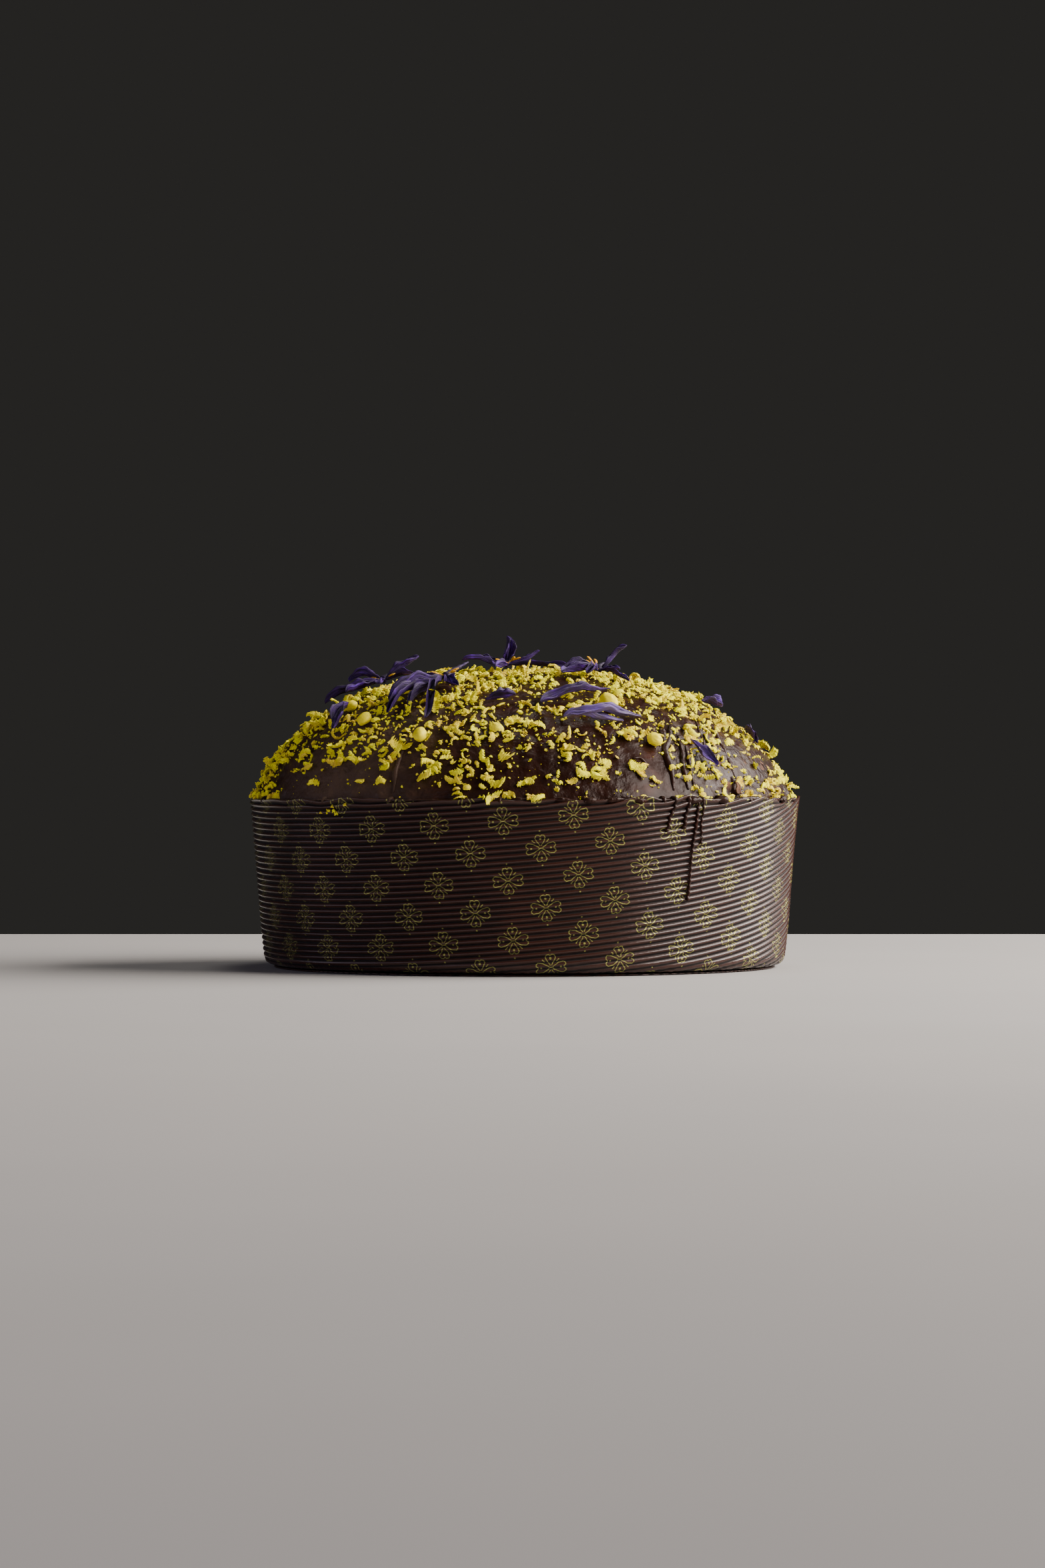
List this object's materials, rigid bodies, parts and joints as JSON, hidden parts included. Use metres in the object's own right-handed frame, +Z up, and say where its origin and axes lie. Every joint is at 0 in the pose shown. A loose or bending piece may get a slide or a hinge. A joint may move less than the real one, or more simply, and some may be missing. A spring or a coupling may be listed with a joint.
{
  "type": "panettone",
  "caption": "Low domed panettone in a ribbed paper baking case, coated with dark chocolate and topped with yellow chocolate shavings and dried violet flowers.",
  "frame": {"origin": "centre of the underside of the paper case, on the surface it stands on", "axes": "+Z up; the side with the glaze drips over the rim faces -Y and +X"},
  "size_m": [0.222, 0.222, 0.1346],
  "materials": {
    "case_paper": "corrugated baking paper, satin, dark brown with a gold print",
    "crust": null,
    "dark_chocolate": null,
    "yellow_chocolate": null,
    "petal": "dried violet petal, matte, creased",
    "stamen": "dried orange stamen, matte"
  },
  "bodies": {
    "root": {"case_wall": "case_paper", "case_base": "case_paper", "loaf": "crust", "chocolate_glaze": "dark_chocolate", "crocus_1_tepals": "petal", "crocus_1_stamens": "stamen", "crocus_2_tepals": "petal", "crocus_2_stamens": "stamen", "crocus_3_tepals": "petal", "crocus_3_stamens": "stamen", "crocus_4_tepals": "petal", "crocus_4_stamens": "stamen", "loose_tepal_1": "petal", "loose_tepal_2": "petal", "loose_tepal_3": "petal", "loose_tepal_4": "petal", "loose_tepal_5": "petal", "loose_tepal_6": "petal", "loose_tepal_7": "petal", "loose_tepal_8": "petal", "loose_tepal_9": "petal", "loose_tepal_10": "petal", "choc_drop_1": "yellow_chocolate", "choc_drop_2": "yellow_chocolate", "choc_drop_3": "yellow_chocolate", "choc_drop_4": "yellow_chocolate", "choc_drop_5": "yellow_chocolate", "choc_drop_6": "yellow_chocolate", "shaving_1": "yellow_chocolate", "shaving_2": "yellow_chocolate", "shaving_3": "yellow_chocolate", "shaving_4": "yellow_chocolate", "shaving_5": "yellow_chocolate", "shaving_6": "yellow_chocolate", "shaving_7": "yellow_chocolate", "shaving_8": "yellow_chocolate", "shaving_9": "yellow_chocolate", "shaving_10": "yellow_chocolate", "shaving_11": "yellow_chocolate", "shaving_12": "yellow_chocolate", "shaving_13": "yellow_chocolate", "shaving_14": "yellow_chocolate", "shaving_15": "yellow_chocolate", "shaving_16": "yellow_chocolate", "shaving_17": "yellow_chocolate", "shaving_18": "yellow_chocolate", "shaving_19": "yellow_chocolate", "shaving_20": "yellow_chocolate", "shaving_21": "yellow_chocolate", "shaving_22": "yellow_chocolate", "shaving_23": "yellow_chocolate", "shaving_24": "yellow_chocolate", "shaving_25": "yellow_chocolate", "shaving_26": "yellow_chocolate", "shaving_27": "yellow_chocolate"}
  },
  "joints": []
}
